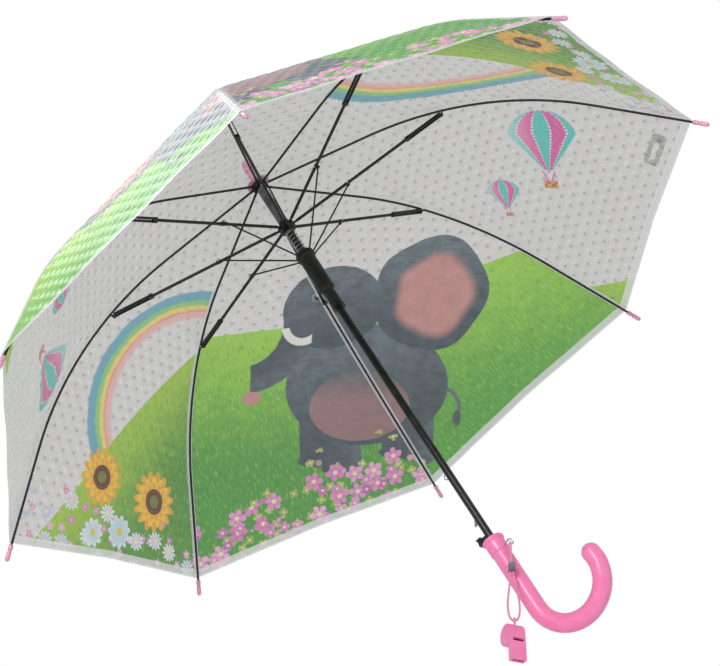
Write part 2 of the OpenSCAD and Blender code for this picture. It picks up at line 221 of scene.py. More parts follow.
def calc(tree, kind, *values):
    node = tree.nodes.new("ShaderNodeMath")
    node.operation = kind
    for value, socket in zip(values, node.inputs):
        if isinstance(value, Field):
            tree.links.new(value.socket, socket)
        else:
            socket.default_value = value
    return Field(tree, node.outputs[0])


def length(x, y):
    return (x * x + y * y).root()


def vector(tree, x, y, z=0.0):
    node = tree.nodes.new("ShaderNodeCombineXYZ")
    for value, socket in zip((x, y, z), node.inputs):
        if isinstance(value, Field):
            tree.links.new(value.socket, socket)
        else:
            socket.default_value = value
    return node.outputs[0]


def noise(tree, place, scale, detail=3.0):
    node = tree.nodes.new("ShaderNodeTexNoise")
    node.inputs["Scale"].default_value = scale
    node.inputs["Detail"].default_value = detail
    tree.links.new(place, node.inputs["Vector"])
    return Field(tree, node.outputs["Fac"])


def mix(tree, share, a, b):
    """A colour between a and b, each a colour or a socket."""
    node = tree.nodes.new("ShaderNodeMix")
    node.data_type = "RGBA"
    for value, socket in ((share, node.inputs[0]), (a, node.inputs[6]), (b, node.inputs[7])):
        if isinstance(value, Field):
            tree.links.new(value.socket, socket)
        elif isinstance(value, bpy.types.NodeSocket):
            tree.links.new(value, socket)
        elif isinstance(value, tuple):
            socket.default_value = (*value, 1)
        else:
            socket.default_value = value
    return node.outputs[2]


def new_material(name, **sockets):
    """A material whose keyword names are its shader's sockets, with _ for a space."""
    mat = bpy.data.materials.new(name)
    mat.use_nodes = True
    shader = mat.node_tree.nodes["Principled BSDF"]
    for socket, value in sockets.items():
        shader.inputs[socket.replace("_", " ")].default_value = value
    return mat, mat.node_tree, shader


def object_place(tree):
    return tree.nodes.new("ShaderNodeTexCoord").outputs["Object"]


def set_bump(tree, shader, height, strength, distance):
    node = tree.nodes.new("ShaderNodeBump")
    node.inputs["Strength"].default_value = strength
    node.inputs["Distance"].default_value = distance
    tree.links.new(height.socket, node.inputs["Height"])
    tree.links.new(node.outputs[0], shader.inputs["Normal"])


def hard_material(name, dark, light, rough, spread, grain, depth, **sockets):
    """Plastic, enamel or metal: mottled colour, uneven roughness and a fine surface grain."""
    mat, tree, shader = new_material(name, **sockets)
    place = object_place(tree)
    broad, fine = noise(tree, place, grain * 0.12, 4), noise(tree, place, grain, 2)
    tree.links.new(mix(tree, broad.over(0.3, 0.7), dark, light), shader.inputs["Base Color"])
    worn = noise(tree, place, grain * 0.3, 5).over(0.25, 0.8) * spread + rough
    tree.links.new(worn.socket, shader.inputs["Roughness"])
    set_bump(tree, shader, fine, 0.25, depth)
    return mat


enamel = hard_material("black_enamel", (0.006, 0.006, 0.007), (0.016, 0.016, 0.018), 0.16, 0.2,
                       420, 0.00003, Specular_IOR_Level=0.38)
fibre = hard_material("fibre_rod", (0.007, 0.007, 0.008), (0.02, 0.02, 0.022), 0.22, 0.22,
                      700, 0.00004, Specular_IOR_Level=0.35)
black_plastic = hard_material("black_plastic", (0.009, 0.009, 0.01), (0.02, 0.02, 0.021), 0.26,
                              0.2, 900, 0.00005, Specular_IOR_Level=0.35)
steel = hard_material("steel", (0.5, 0.5, 0.52), (0.72, 0.72, 0.73), 0.2, 0.2, 600, 0.00003,
                      Metallic=1.0)
spring_steel = hard_material("spring_steel", (0.16, 0.16, 0.17), (0.34, 0.34, 0.36), 0.24, 0.2,
                             500, 0.00003, Metallic=1.0)
bright_spring = hard_material("bright_spring", (0.3, 0.3, 0.31), (0.55, 0.55, 0.57), 0.18, 0.16,
                              500, 0.00003, Metallic=1.0)
pink_plastic = hard_material("pink_plastic", (0.9, 0.2, 0.44), (0.94, 0.24, 0.49), 0.27, 0.12,
                             900, 0.00002, Subsurface_Weight=0.2, Subsurface_Scale=0.004,
                             Coat_Weight=0.25, Coat_Roughness=0.18)
pink_plastic.node_tree.nodes["Principled BSDF"].inputs["Subsurface Radius"].default_value = (
    1.0, 0.45, 0.6)
tip_plastic = hard_material("tip_plastic", (0.95, 0.4, 0.62), (1.0, 0.5, 0.7), 0.16, 0.14, 500,
                            0.00005, Transmission_Weight=0.35, IOR=1.46, Coat_Weight=0.3)


def cord_material():
    mat, tree, shader = new_material("cord", Sheen_Weight=0.6, Sheen_Roughness=0.5)
    place = object_place(tree)
    fibres = noise(tree, place, 2600, 4)
    tree.links.new(mix(tree, fibres.over(0.3, 0.7), (0.62, 0.13, 0.3), (0.96, 0.36, 0.58)),
                   shader.inputs["Base Color"])
    tree.links.new((fibres * 0.2 + 0.62).socket, shader.inputs["Roughness"])
    set_bump(tree, shader, fibres, 0.6, 0.00015)
    return mat


cord_pink = cord_material()

# ---------------------------------------------------------------- printed film
CELL_W, CELL_H = 18.0, 12.6  # one embossed lens, in mm
HEM = 9.0
INNER_LEN, INNER_SLOPE = 124.0, math.radians(8.5)
BEND_R, OUTER_SLOPE, OUTER_LEN = 355.0, math.radians(49), 119.0
BEND_LEN = BEND_R * (OUTER_SLOPE - INNER_SLOPE)
NOTCH_R, NOTCH_Z, FILM_GAP, HEM_BOW = 7.0, 540.0, 2.6, 4.0
FILM_HALF = 0.15  # half the thickness of the CAD film
FILM_S0 = 2.2
FILM_S1 = INNER_LEN + BEND_LEN + OUTER_LEN - 10
SOFT = 0.7  # how soft a printed edge is, in mm


class Film:
    """The graph of one kind of panel, in mm.

    x runs across the panel from its middle, and s down it from the notch.
    """

    def __init__(self, name):
        self.mat, self.tree, self.shader = new_material(
            name, IOR=1.5, Specular_IOR_Level=0.22)
        self.x, self.s = self.layer("panel")
        self.half, self.near = self.layer("half")
        self.colour, self.alpha = (0.8, 0.8, 0.79), None

    def layer(self, name):
        uv = self.tree.nodes.new("ShaderNodeUVMap")
        uv.uv_map = name
        split = self.tree.nodes.new("ShaderNodeSeparateXYZ")
        self.tree.links.new(uv.outputs[0], split.inputs[0])
        return tuple(Field(self.tree, split.outputs[i]) * 1000.0 for i in (0, 1))

    def paint(self, mask, colour, alpha=0.9):
        self.colour = mix(self.tree, mask, self.colour, colour)
        self.alpha = self.alpha + mask * (alpha - self.alpha)

    def noise(self, scale_x, scale_y, detail=3.0, x=None, y=None):
        spot = vector(self.tree, (x or self.x) * scale_x, (y or self.s) * scale_y)
        return noise(self.tree, spot, 1.0, detail)

    def clear(self):
        """The embossed film: a lens in every cell, with a painted highlight (a white crescent and a tick) and a
        grey patch of painted shade.
        """
        row = (self.s / CELL_H).floor()
        shift = row.do("MODULO", 2.0) * 0.5
        a = (self.x / CELL_W + shift + 100.0).fract() - 0.5
        b = (self.s / CELL_H).fract() - 0.5
        vary = self.noise(0.03, 0.05, 2)
        ring = length(a, b * 0.82)
        wobble = self.noise(0.16, 0.2, 2)
        # masks of each lens's painted highlights (crescent and tick) and its patch of painted shade
        painted_crescent_highlight = ((0.13 - (ring - 0.34).abs()).over(0.0, 0.13)
                    * (a * -0.8 + b * -0.6).over(0.0, 0.4) * wobble.over(0.35, 0.6))
        painted_shade_patch = (0.2 - length(a - 0.08, (b - 0.1) * 0.8)).over(0.0, 0.12)
        painted_tick_highlight = ((0.06 - (a * 0.5 + b + 0.12).abs()).over(0.0, 0.03)
                * (0.2 - a.abs()).over(0.0, 0.06) * wobble.over(0.38, 0.5))
        self.colour = mix(self.tree, vary.over(0.3, 0.7),
                          (0.35, 0.335, 0.305), (0.52, 0.5, 0.465))
        self.alpha = vary.over(0.25, 0.75) * 0.14 + 0.55
        # painted shade: a darker grey patch beside each lens
        self.paint(painted_shade_patch * 0.8, (0.23, 0.225, 0.215), 0.74)
        # painted highlights: a white crescent and a white tick on each lens, in place of glints
        self.paint(painted_crescent_highlight * (vary * 0.6 + 0.55), (1.0, 1.0, 1.0), 0.85)
        self.paint(painted_tick_highlight, (1.0, 1.0, 1.0), 0.97)
        self.relief = (a * math.pi).cos() * (b * math.pi).cos()
        # where the lens highlights are painted; the film is also made a little less rough there
        self.painted_highlights = painted_crescent_highlight.most(painted_tick_highlight)

    def edges(self):
        """The welded hem and the seam beside each rib, on top of the print."""
        down = FILM_S1 - self.s
        hem = (HEM - down).over(-0.4, 0.4)
        self.paint(hem * 0.62, (0.86, 0.86, 0.87), 0.75)
        row = (down / 3.4).floor()
        dash = (self.x / 6.4 + row.do("MODULO", 2.0) * 0.5 + 100.0).fract() - 0.5
        lift = (down / 3.4).fract() - 0.5
        weld = ((0.36 - dash.abs()).over(0.0, 0.08) * (0.3 - lift.abs()).over(0.0, 0.12)
                * (7.2 - down).over(0.0, 0.4))
        self.paint(weld * 0.75, (0.66, 0.63, 0.72), 0.85)
        self.paint((0.8 - (down - 0.9).abs()).over(0.0, 0.5), (0.95, 0.95, 0.95), 0.85)
        self.paint((3.2 - self.near).over(0.0, 0.8) * 0.6, (0.85, 0.86, 0.86), 0.6)
        self.paint((0.55 - (self.near - 3.6).abs()).over(0.0, 0.4) * 0.8, (0.97, 0.97, 0.97), 0.85)
        self.weld = weld

    def done(self):
        self.edges()
        self.tree.links.new(self.colour, self.shader.inputs["Base Color"])
        self.tree.links.new(self.alpha.socket, self.shader.inputs["Alpha"])
        # slightly less rough under the painted lens highlights
        rough = self.noise(0.12, 0.12, 3).over(0.3, 0.7) * 0.1 + 0.12 - self.painted_highlights * 0.06
        self.tree.links.new(rough.socket, self.shader.inputs["Roughness"])
        grain = self.noise(0.5, 0.5, 2) * 0.12
        set_bump(self.tree, self.shader, self.relief * 0.5 + grain + self.weld * 0.4, 0.55, 0.0009)
        return self.mat

    # ---- shapes: each gives a mask
    def blob(self, x, y, wide, high):
        """An ellipse about a point that x and y are measured from."""
        return ((1.0 - length(x / wide, y / high)) * min(wide, high)).over(-SOFT, SOFT)

    def turned(self, x, y, angle, cx=0.0, cy=0.0):
        """x and y in a frame at (cx, cy) that is turned by an angle in degrees."""
        c, n = math.cos(math.radians(angle)), math.sin(math.radians(angle))
        dx, dy = x - cx, y - cy
        return dx * c + dy * n, dy * c - dx * n

    def stroke(self, x, y, radius, width, cx, cy):
        """A ring of that radius and width."""
        return (width / 2 - (length(x - cx, y - cy) - radius).abs()).over(-SOFT, SOFT)

    def flower(self, cx, cy, size, petals, outer, inner, heart, heart_size, turn=0.0):
        """Petals with a streaked inner half round a plain heart."""
        x, y = self.x - cx, self.s - cy
        r = length(x, y)
        angle = calc(self.tree, "ARCTAN2", y, x) + turn
        wave = (angle * (petals / 2.0)).cos().abs()
        reach = wave * (size * 0.3) + size * 0.7
        streak = (angle * petals * 1.5).sin().abs()
        self.paint((reach - r).over(-SOFT, SOFT), outer, 0.93)
        self.paint((reach * 0.74 - r).over(-1.5, 1.5) * (streak * 0.5 + 0.35), inner, 0.93)
        self.paint((heart_size - r).over(-SOFT, SOFT), heart, 0.95)

    def sunflower(self, cx, cy, size):
        """Two rows of petals round a seeded heart."""
        self.flower(cx, cy, size * 1.04, 15, (0.93, 0.45, 0.01), (0.8, 0.26, 0.01),
                    (0.1, 0.03, 0.01), size * 0.42, turn=0.4)
        self.flower(cx, cy, size * 0.86, 13, (1.0, 0.62, 0.03), (0.9, 0.36, 0.01),
                    (0.13, 0.045, 0.012), size * 0.43)
        x, y = self.x - cx, self.s - cy
        seeds = self.noise(0.9, 0.9, 1)
        self.paint((size * 0.22 - length(x, y)).over(-1.2, 1.2) * (seeds * 0.6 + 0.6),
                   (0.22, 0.26, 0.03), 0.95)
        self.paint((0.9 - (length(x, y) - size * 0.34).abs()).over(0.0, 1.4)
                   * seeds.over(0.4, 0.6), (0.5, 0.22, 0.03), 0.95)

    def meadow(self, depth, light=(0.42, 0.72, 0.03), deep=(0.06, 0.34, 0.012)):
        """Grass below a hill line. depth is how far a point lies under that line."""
        blades = self.noise(0.42, 0.1, 4)
        clumps = self.noise(0.035, 0.05, 3)
        mask = (depth + blades * 5.0 - 2.5).over(-0.8, 0.8)
        shade = mix(self.tree, (depth + clumps * 90.0).over(30.0, 240.0), light, deep)
        shade = mix(self.tree, blades.over(0.5, 0.75) * 0.4, shade, (0.62, 0.85, 0.12))
        shade = mix(self.tree, (blades * -1.0).over(-0.45, -0.28) * 0.45, shade, (0.03, 0.2, 0.01))
        self.paint(mask, shade, 0.93)

    def wild_flowers(self, size, top, full, first, second, petals, keep, seed, reach):
        """Small flowers strewn over the lower panel: none above top, and thick from full down."""
        place = vector(self.tree, self.x / size + seed, self.s / size - seed)
        cells = self.tree.nodes.new("ShaderNodeTexVoronoi")
        cells.voronoi_dimensions = "2D"
        cells.inputs["Scale"].default_value = 1.0
        cells.inputs["Randomness"].default_value = 0.75
        self.tree.links.new(place, cells.inputs["Vector"])
        offset = self.tree.nodes.new("ShaderNodeVectorMath")
        offset.operation = "SUBTRACT"
        self.tree.links.new(place, offset.inputs[0])
        self.tree.links.new(cells.outputs["Position"], offset.inputs[1])
        split = self.tree.nodes.new("ShaderNodeSeparateXYZ")
        self.tree.links.new(offset.outputs[0], split.inputs[0])
        chance = self.tree.nodes.new("ShaderNodeSeparateColor")
        self.tree.links.new(cells.outputs["Color"], chance.inputs[0])
        x, y = (Field(self.tree, split.outputs[i]) for i in (0, 1))
        luck, hue, spin = (Field(self.tree, chance.outputs[i]) for i in (0, 1, 2))
        r = length(x, y * 1.15)
        angle = calc(self.tree, "ARCTAN2", y, x) + spin * 6.3
        wave = (angle * (petals / 2.0)).cos().abs()
        here = ((self.s.over(top, full) * keep - luck).over(0.0, 0.02)
                * self.s.over(top, top + 1.0))
        petal = (wave * (reach * 0.45) + reach * 0.55 - r).over(-0.03, 0.03) * here
        self.paint(petal, mix(self.tree, hue, first, second), 0.92)
        self.paint((reach * 0.62 - r).over(-0.06, 0.06) * here * (1.0 - wave) * 0.6,
                   (0.5, 0.1, 0.35), 0.92)
        self.paint((reach * 0.24 - r).over(-0.03, 0.03) * here, (0.95, 0.85, 0.45), 0.95)


RED, YELLOW = (0.85, 0.16, 0.13), (0.93, 0.72, 0.12)
LEAF, TEAL, BLUE = (0.25, 0.62, 0.18), (0.07, 0.42, 0.5), (0.1, 0.4, 0.55)
DAISY_HEART = (0.9, 0.68, 0.05)


def hill_panel():
    """Rainbow, hill and sunflowers."""
    film = Film("film_hill")
    film.clear()
    across = length(film.x + 90.0, film.s - 292.0)
    soft = film.noise(0.02, 0.02, 2) * 4.0
    for outer, colour in ((156.0, BLUE), (149.0, TEAL), (143.0, LEAF), (136.0, YELLOW),
                          (129.0, RED)):
        mask = (outer - across + soft - 2.0).over(-1.8, 1.8) * (across - 122.0).over(-2.5, 2.5)
        film.paint(mask, colour, 0.88)
    film.paint((128.0 - across).over(-1.5, 2.5) * (across - 118.0).over(-3.0, 3.0),
               (0.8, 0.3, 0.28), 0.75)
    film.meadow(film.s - 335.0 - film.x * 1.28 + film.x * film.x * 0.0012,
                (0.4, 0.66, 0.04), (0.07, 0.32, 0.015))
    film.wild_flowers(17.0, 395.0, 470.0, (0.8, 0.25, 0.6), (0.93, 0.55, 0.75), 5,
                      keep=0.5, seed=3.3, reach=0.34)
    film.wild_flowers(30.0, 405.0, 455.0, (0.66, 0.8, 0.9), (0.86, 0.92, 0.95), 11,
                      keep=0.6, seed=7.7, reach=0.42)
    film.sunflower(24.0, 394.0, 33.0)
    film.sunflower(-70.0, 407.0, 35.0)
    film.flower(-14.0, 452.0, 20.0, 11, (0.75, 0.87, 0.93), (0.5, 0.7, 0.82), DAISY_HEART, 5.0)
    film.flower(31.0, 458.0, 17.0, 10, (0.8, 0.9, 0.95), (0.55, 0.73, 0.85), DAISY_HEART, 4.4)
    return film.done()


def balloon(film, cx, cy, r):
    """A hot-air balloon whose basket lies towards +x. x and y are in its radii."""
    x, y = film.turned(film.x, film.s, 21.0, cx, cy)
    x, y = x / r, y / r
    wide = (1.0 - (x * 0.93).do("POWER", 2.0)).most(0.001).root()
    neck = (1.28 - x) * 0.62
    half = wide.least(neck).most(0.001)
    edge = SOFT / r
    body = ((half - y.abs()).over(-edge, edge) * (1.16 - x).over(-edge, edge)
            * (x + 1.07).over(-edge, edge))
    t = (y / half).abs()
    stripe = (t - 0.27).over(-0.02, 0.02) * (0.74 - t).over(-0.02, 0.02)
    colour = mix(film.tree, stripe, (0.06, 0.6, 0.55), (0.8, 0.06, 0.36))
    colour = mix(film.tree, (y * -1.0).over(0.0, 1.1) * 0.4, colour, (1.0, 1.0, 1.0))
    film.paint(body, colour, 0.9)
    dash = (x * 9.0).fract().over(0.3, 0.4) * (0.95 - (x * 9.0).fract()).over(0.0, 0.05)
    for line in (0.27, 0.74):
        stitch = (0.045 - (t - line).abs()).over(0.0, 0.03) * dash
        film.paint(body * stitch, (0.95, 0.95, 0.95), 0.95)
    swirl = (0.1 - ((y * 4.5 + (x * 7.0).sin() * 0.6).fract() - 0.5).abs()).over(0.0, 0.08)
    film.paint(body * stripe * swirl * 0.35, (1.0, 0.45, 0.7), 0.9)
    rope = ((0.035 - (y.abs() - (1.62 - x) * 0.34).abs()).over(0.0, 0.02)
            * (x - 1.1).over(0.0, 0.03) * (1.52 - x).over(0.0, 0.03))
    film.paint(rope, (0.8, 0.1, 0.4), 0.9)
    basket = ((0.2 - y.abs()).over(-edge, edge) * (x - 1.44).over(-edge, edge)
              * (1.72 - x).over(-edge, edge))
    weave = (x * 26.0).sin() * (y * 26.0).sin()
    film.paint(basket, mix(film.tree, weave.over(-0.3, 0.3), (0.5, 0.16, 0.04),
                           (0.85, 0.4, 0.14)), 0.93)
    film.paint(basket * (0.035 - (x - 1.47).abs()).over(0.0, 0.02), (0.9, 0.3, 0.4), 0.93)


def balloon_panel():
    """Two balloons, and the corner of a hill."""
    film = Film("film_balloons")
    film.clear()
    film.meadow(film.x * 1.2 + film.s - 608.0, (0.4, 0.7, 0.04), (0.12, 0.4, 0.02))
    balloon(film, -56.0, 334.0, 42.0)
    balloon(film, 42.0, 306.0, 21.0)
    return film.done()


GREY, PALE_GREY, DARK_GREY = (0.1, 0.135, 0.155), (0.2, 0.25, 0.28), (0.04, 0.055, 0.065)
SALMON = (0.62, 0.27, 0.25)


def elephant(film, cx, cs, angle):
    """A plain elephant in profile.

    (cx, cs) is the middle of its body on this panel, and the angle turns the print's upright.
    """
    c, n = math.cos(math.radians(angle)), math.sin(math.radians(angle))
    dx, ds = film.x - cx, film.s - cs
    x, y = ds * n - dx * c, dx * -n - ds * c
    skin = film.noise(0.06, 0.06, 5, x, y)
    folds = film.noise(0.03, 0.3, 3, x, y)

    def hide(mask, lit, colour=GREY, light=PALE_GREY):
        shade = mix(film.tree, lit, colour, light)
        shade = mix(film.tree, skin.over(0.35, 0.75) * 0.45, shade, DARK_GREY)
        shade = mix(film.tree, folds.over(0.58, 0.62) * 0.25, shade, DARK_GREY)
        film.paint(mask, shade, 0.97)

    # tail, far legs, near legs, body
    film.paint(film.stroke(x, y, 26.0, 5.0, 116.0, -30.0) * (x - 112.0).over(0.0, 2.0)
               * (y + 50.0).over(0.0, 3.0), GREY, 0.92)
    film.paint(film.blob(x - 140.0, y + 42.0, 5.0, 10.0), DARK_GREY, 0.92)
    for leg, foot, near in ((-44.0, -96.0, 0), (62.0, -94.0, 0),
                            (-14.0, -108.0, 1), (88.0, -100.0, 1)):
        shape = ((24.0 + near * 2.0 - (x - leg).abs() - (y + 60.0).over(-60.0, 40.0) * 3.0)
                 .least((y - foot)).least(-20.0 - y)).over(-SOFT, SOFT)
        hide(shape.most(film.blob(x - leg, y - foot - 3.0, 27.0, 9.0)),
             (x - leg).over(-24.0, 26.0) * (0.55 if near else 0.1))
        for toe in (-13.0, 0.0, 13.0):
            film.paint(film.blob(x - leg - toe, y - foot + 1.0, 4.4, 3.8) * (0.9 if near else 0.6),
                       (0.75, 0.5, 0.5), 0.93)
    hide(film.blob(x - 22.0, y + 2.0, 104.0, 78.0), (y + x * -0.25).over(-70.0, 80.0))
    film.paint(film.blob(x - 14.0, y + 30.0, 66.0, 44.0) * 0.5 * (y * -1.0).over(-24.0, 30.0),
               SALMON, 0.93)
    # trunk, head and tusk
    from_curl = length(x + 132.0, y - 80.0) - 66.0
    taper = (80.0 - y).over(0.0, 120.0) * -9.0 + 23.0
    trunk = ((taper - from_curl.abs()).least(88.0 - y).least(x + 128.0)
             .least(y + 20.0)).over(-SOFT, SOFT)
    hide(trunk, from_curl.over(-18.0, 20.0) * 0.7)
    rings = (0.16 - ((y / 9.0).fract() - 0.5).abs()).over(0.0, 0.12)
    film.paint(trunk * rings * 0.4, DARK_GREY, 0.93)
    film.paint(film.blob(x + 126.0, y + 8.0, 12.0, 8.0), SALMON, 0.93)
    hide(film.blob(x + 26.0, y - 104.0, 66.0, 58.0), (y + x * -0.3).over(60.0, 160.0) * 0.9)
    tusk_r = length(x + 62.0, y - 82.0)
    film.paint((5.0 - (tusk_r - 24.0).abs()).least(y * -1.0 + 78.0).least(x * -1.0 - 50.0)
               .over(-SOFT, SOFT), (0.9, 0.88, 0.82), 0.95)
    # a plain dark eye under a soft lid
    film.paint(film.blob(x + 48.0, y - 118.0, 8.5, 7.0), (0.32, 0.37, 0.4), 0.94)
    film.paint(film.blob(x + 48.0, y - 117.0, 5.0, 5.0), (0.01, 0.01, 0.012), 0.95)
    film.paint(film.blob(x + 49.6, y - 119.2, 1.5, 1.5), (0.95, 0.95, 0.95), 0.95)
    # ear
    ex, ey = film.turned(x, y, -14.0, 96.0, 118.0)
    scallop = (calc(film.tree, "ARCTAN2", ey, ex) * 5.0).sin() * 2.0
    hide(((1.0 - length(ex / 68.0, ey / 76.0)) * 68.0 + scallop).over(-SOFT, SOFT),
         (ex * -0.4 + ey).over(-60.0, 80.0))
    inner = (1.0 - length((ex - 6.0) / 47.0, (ey + 2.0) / 56.0)) * 47.0 + scallop
    film.paint(inner.over(-5.0, 9.0) * 0.92,
               mix(film.tree, skin.over(0.3, 0.75), (0.72, 0.32, 0.29), SALMON), 0.93)


def ear_panel():
    """The part of the elephant with its ear."""
    film = Film("film_meadow")
    film.clear()
    film.meadow(film.s - 292.0 + film.x * 0.41, (0.36, 0.72, 0.05), (0.07, 0.4, 0.02))
    elephant(film, 142.0, 311.0, 48.3)
    return film.done()


def body_panel():
    """The rest of the elephant, and flowers."""
    film = Film("film_elephant")
    film.clear()
    film.meadow(film.s - 222.0 + film.x * 0.26, (0.36, 0.72, 0.05), (0.05, 0.34, 0.02))
    elephant(film, -93.0, 326.0, 14.0)
    film.wild_flowers(16.0, 385.0, 470.0, (0.35, 0.5, 0.05), (0.5, 0.66, 0.1), 4,
                      keep=0.7, seed=5.1, reach=0.4)
    film.wild_flowers(27.0, 390.0, 462.0, (0.78, 0.16, 0.56), (0.93, 0.5, 0.74), 5,
                      keep=0.78, seed=1.7, reach=0.46)
    film.wild_flowers(19.0, 400.0, 480.0, (0.55, 0.1, 0.5), (0.9, 0.42, 0.7), 5,
                      keep=0.6, seed=9.2, reach=0.42)
    return film.done()


# Panels 1-2, 2-3, 3-4 and 4-5 repeat once round.
prints = [hill_panel(), balloon_panel(), ear_panel(), body_panel()]


def rib_line(s):
    """A rib's centreline and slope at each distance s along it, in its own plane."""
    s = np.asarray(s, float)
    slope = INNER_SLOPE + np.clip(s - INNER_LEN, 0, BEND_LEN) / BEND_R
    inner = np.minimum(s, INNER_LEN)
    outer = np.maximum(s - INNER_LEN - BEND_LEN, 0)
    r = (NOTCH_R + inner * math.cos(INNER_SLOPE) + BEND_R * (np.sin(slope) - math.sin(INNER_SLOPE))
         + outer * math.cos(OUTER_SLOPE))
    z = (-inner * math.sin(INNER_SLOPE) + BEND_R * (np.cos(slope) - math.cos(INNER_SLOPE))
         - outer * math.sin(OUTER_SLOPE))
    return r, z, slope


def film_points(s, f, lift):
    """The film over one rib whose azimuth is 0.

    f runs from the middle of one panel, -1, over the rib, 0, to the middle of the next, 1.
    """
    bowed = s - np.abs(f) * HEM_BOW * (s - FILM_S0) / (FILM_S1 - FILM_S0)
    r, z, slope = rib_line(bowed)
    r = r + (FILM_GAP + lift) * np.sin(slope)
    z = z + (FILM_GAP + lift) * np.cos(slope)
    middle = (1 + math.cos(PITCH)) / 2
    x = r + np.abs(f) * (middle - 1) * r
    y = f * math.sin(PITCH) / 2 * r
    return np.stack([x, y, z + NOTCH_Z], -1)


def half_width(s):
    """Half the width of a panel at each distance s."""
    r, _, slope = rib_line(s)
    return (r + FILM_GAP * np.sin(slope)) * math.sin(PITCH / 2)


def lens_height(s, f):
    """Height of the embossing, in mm, from the same cells as the print's."""
    half = half_width(s)
    near = np.abs(f) * half
    x = np.where(f < 0, half - near, near - half)
    row = np.floor(s / CELL_H)
    a = (x / CELL_W + (row % 2) * 0.5) % 1 - 0.5
    b = (s / CELL_H) % 1 - 0.5
    flat = (np.clip((np.minimum(near, 2 * half - near) - 4) / 6, 0, 1)
            * np.clip((FILM_S1 - HEM - s) / 6, 0, 1) * np.clip((s - 14) / 10, 0, 1))
    slack = (0.5 * np.sin(f * 9.4) * np.clip(s / FILM_S1, 0, 1) ** 3
             * np.clip((1 - np.abs(f)) * 6, 0, 1) * np.clip(near / 20, 0, 1))
    return 0.8 * np.cos(np.pi * a) * np.cos(np.pi * b) * flat + slack


def turn(points, origin, axis, angle):
    """Rotates points about an axis through origin; angle may differ for each point."""
    p, n = points - origin, np.asarray(axis, float) / np.linalg.norm(axis)
    angle = np.broadcast_to(angle, p.shape[:-1])[..., None]
    return (origin + p * np.cos(angle) + np.cross(n, p) * np.sin(angle)
            + n * (p @ n)[..., None] * (1 - np.cos(angle)))


COLUMNS, ROWS = ((108, 168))
rows = np.linspace(FILM_S0, FILM_S1, ROWS + 1)
columns = np.linspace(-1, 1, COLUMNS + 1)
film_hinge, rib_hinge = joints["film_furl_1"], joints["rib_hinge_1"]
FURL = math.radians(film_hinge["range_deg"][1])
FOLD = math.radians(rib_hinge["range_deg"][1])


def spin(points, angle):
    """Rotates points about the shaft's axis."""
    c, n = math.cos(angle), math.sin(angle)
    return points @ np.array([[c, n, 0], [-n, c, 0], [0, 0, 1]])


def azimuth_of(k):
    return (k - 1.5) * PITCH


# The first rib's hinges, turned to azimuth 0.
home = lambda v: spin(np.array(v, float), -azimuth_of(1))
furl_at, furl_axis = home(film_hinge["pos_m"]), home(film_hinge["axis"])
fold_at, fold_axis = home(rib_hinge["pos_m"]), home(rib_hinge["axis"])


def film_side():
    """The sense in which a positive furl carries the +f side towards the rib's own plane."""
    point = film_points(np.array([400.0]), np.array([1.0]), FILM_HALF) * MM
    ahead = turn(point, furl_at, furl_axis, 0.05)
    return -1.0 if ahead[0, 1] > point[0, 1] else 1.0


def fold_share():
    """How much of the furl each row's panel middle takes.

    When closed, it meets its neighbour in the plane between two ribs.
    """
    rest = film_points(rows, np.ones_like(rows), FILM_HALF) * MM
    low, high = np.zeros_like(rows), np.full_like(rows, 1.6)
    for _ in range(40):
        middle = (low + high) / 2
        moved = turn(rest, furl_at, furl_axis, sense * middle * FURL)
        moved = turn(moved, fold_at, fold_axis, FOLD)
        past = np.arctan2(moved[:, 1], moved[:, 0]) > PITCH / 2
        low, high = np.where(past, middle, low), np.where(past, high, middle)
    return low


sense = film_side()
share = fold_share()


def furl_weight(s, f):
    """A film point's blend weight: 0 on the rib, and its row's share beyond a third of the way."""
    t = np.clip(np.abs(f) / 0.35, 0, 1)
    return sense * np.sign(f) * np.interp(s, rows, share) * t * t * (3 - 2 * t)


def build_film(k):
    """The film over rib k, to the middle of the panel on each side."""
    wide = np.concatenate([[columns[0] - 0.01], columns, [columns[-1] + 0.01]])
    s, f = np.meshgrid(rows, wide, indexing="ij")
    grid = film_points(s, f, FILM_HALF + lens_height(s, f))
    normal = np.cross(np.gradient(grid, axis=1), np.gradient(grid, axis=0))
    normal = -normal[:, 1:-1] / np.linalg.norm(normal[:, 1:-1], axis=2)[..., None]
    points = spin(grid[:, 1:-1].reshape(-1, 3) * MM, azimuth_of(k))
    n = COLUMNS + 1
    faces = [(i * n + j, (i + 1) * n + j, (i + 1) * n + j + 1, i * n + j + 1)
             for i in range(ROWS) for j in range(COLUMNS)]
    obj = add_mesh(f"film_{k}", points, faces)
    mesh = obj.data
    left = columns[:-1] < -1e-6
    loops = np.array(faces)
    is_left = np.tile(left, ROWS)[:, None]
    s_at, f_at = rows[loops // n], columns[loops % n]
    half = half_width(s_at)
    near = np.abs(f_at) * half
    x = np.where(is_left, half - near, near - half)
    for name, a, b in (("panel", x, s_at), ("half", half, near)):
        layer = mesh.uv_layers.new(name=name)
        layer.data.foreach_set("uv", (np.stack([a, b], -1) * MM).astype(np.float32).ravel())
    mesh.materials.append(prints[(k - 2) % 4])
    mesh.materials.append(prints[(k - 1) % 4])
    mesh.polygons.foreach_set("material_index", np.where(is_left[:, 0], 0, 1).astype(np.int32))
    outward = spin(normal.reshape(-1, 3), azimuth_of(k))
    mesh.normals_split_custom_set_from_vertices([tuple(v) for v in outward])
    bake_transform(obj, f"rib_arm_{k}", f"gore_panel_{k}", start=(0, 0, 0.54), end=(0, 0, 0.3))
    weight = furl_weight(*np.meshgrid(rows, columns, indexing="ij"))
    mesh.attributes["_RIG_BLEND"].data.foreach_set("value", weight.astype(np.float32).ravel())
    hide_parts(f"gore_{k}")


for k in range(1, RIBS + 1):
    build_film(k)

